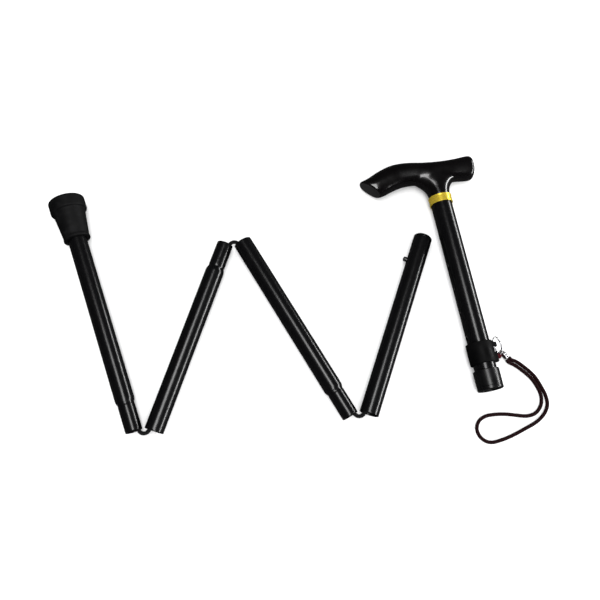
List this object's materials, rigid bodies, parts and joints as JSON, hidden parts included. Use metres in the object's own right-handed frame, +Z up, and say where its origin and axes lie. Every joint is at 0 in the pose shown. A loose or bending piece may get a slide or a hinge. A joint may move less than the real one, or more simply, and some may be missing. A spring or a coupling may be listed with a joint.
{
  "type": "folding walking stick",
  "caption": "Folding, height-adjustable walking stick laid out flat: corded tube sections in a zigzag, derby-grip handle section, rubber tip and wrist strap.",
  "frame": {"origin": "on the floor, under the middle of the laid-out stick without its wrist strap", "axes": "+X along the zigzag, from the rubber tip's side to the handle's side; +Y from the sections' lower folds to the grip; +Z up from the floor"},
  "size_m": [0.5083, 0.3052, 0.0378],
  "materials": {
    "black_lacquer": "gloss black lacquer over aluminium tube",
    "grip_plastic": "polished black moulding",
    "black_plastic": "satin black moulding",
    "rubber": "matt black rubber",
    "gold_ring": "brushed gold",
    "steel": "bright wire",
    "elastic_cord": "woven elastic sleeve",
    "strap_braid": "dark maroon braid",
    "strap_tail": "deep red braid",
    "nylon": "natural nylon"
  },
  "bodies": {
    "adjust": {"adjust_tube": "black_lacquer", "adjust_top_plug": "black_plastic", "button_spring": "steel", "cord_washer_upper": "nylon", "cord_knot_upper": "elastic_cord", "cord_upper": "elastic_cord"},
    "button": {"snap_button": "black_plastic"},
    "third_link": {"cord_bridge_third": "elastic_cord"},
    "third": {"third_tube": "black_lacquer", "cord_third": "elastic_cord"},
    "second_link": {"cord_bridge_second": "elastic_cord"},
    "second": {"second_tube": "black_lacquer", "cord_second": "elastic_cord"},
    "lower_link": {"cord_bridge_lower": "elastic_cord"},
    "lower": {"lower_tube": "black_lacquer", "rubber_tip": "rubber", "tip_washer": "steel", "cord_washer_lower": "nylon", "cord_knot_lower": "elastic_cord", "cord_lower": "elastic_cord"},
    "handle": {"handle_tube": "black_lacquer", "handle_grip": "grip_plastic", "gold_ring": "gold_ring", "grip_stem": "nylon", "grip_screw": "steel"},
    "collar": {"lock_collar": "black_plastic", "collar_collet": "black_plastic"},
    "holder": {"strap_holder": "black_plastic"},
    "ring": {"split_ring": "steel"},
    "strap": {"strap_clasp": "steel", "strap_tail": "strap_tail", "wrist_strap": "strap_braid"}
  },
  "joints": [
    {"name": "fold_third", "type": "hinge", "parent": "adjust", "child": "third_link", "pos_m": [0.08659, -0.125, 0.0095], "axis": [0, 0, 1], "range_deg": [-48.1, 130.3], "deforming": ["cord_bridge_third"]},
    {"name": "seat_third", "type": "slide", "parent": "third_link", "child": "third", "axis": [0.5165, -0.8563, 0], "range_m": [0, 0.028]},
    {"name": "fold_second", "type": "hinge", "parent": "third", "child": "second_link", "pos_m": [-0.03952, 0.04535, 0.0095], "axis": [0, 0, -1], "range_deg": [-49.1, 130.9], "deforming": ["cord_bridge_second"]},
    {"name": "seat_second", "type": "slide", "parent": "second_link", "child": "second", "axis": [0.309, 0.9511, 0], "range_m": [0, 0.028]},
    {"name": "fold_lower", "type": "hinge", "parent": "second", "child": "lower_link", "pos_m": [-0.12126, -0.14154, 0.01006], "axis": [0.0532, -0.0173, 0.9984], "range_deg": [-37.9, 142.1], "deforming": ["cord_bridge_lower"]},
    {"name": "seat_lower", "type": "slide", "parent": "lower_link", "child": "lower", "axis": [0.3395, -0.94, -0.0344], "range_m": [0, 0.028]},
    {"name": "button_press", "type": "slide", "parent": "adjust", "child": "button", "axis": [0.9478, -0.319, 0], "range_m": [0, 0.0042], "stiffness_N_per_m": 600, "deforming": ["button_spring"]},
    {"name": "height_slide", "type": "slide", "parent": "adjust", "child": "handle", "axis": [0.1822, -0.9833, 0], "range_m": [-0.0762, 0]},
    {"name": "collar_turn", "type": "hinge", "parent": "handle", "child": "collar", "pos_m": [0.21527, -0.10549, 0.0134], "axis": [-0.1822, 0.9833, 0], "range_deg": [0, 540]},
    {"name": "holder_turn", "type": "hinge", "parent": "handle", "child": "holder", "pos_m": [0.21527, -0.10549, 0.0134], "axis": [0.1822, -0.9833, 0], "range_deg": [-60, 60]},
    {"name": "ring_swing", "type": "hinge", "parent": "holder", "child": "ring", "pos_m": [0.2215, -0.06009, 0.0134], "axis": [0.1822, -0.9833, 0], "range_deg": [-25, 90]},
    {"name": "clasp_swing", "type": "hinge", "parent": "ring", "child": "strap", "pos_m": [0.23179, -0.065, 0.00322], "axis": [-0.4079, -0.7018, 0.5841], "range_deg": [-20, 30]}
  ]
}
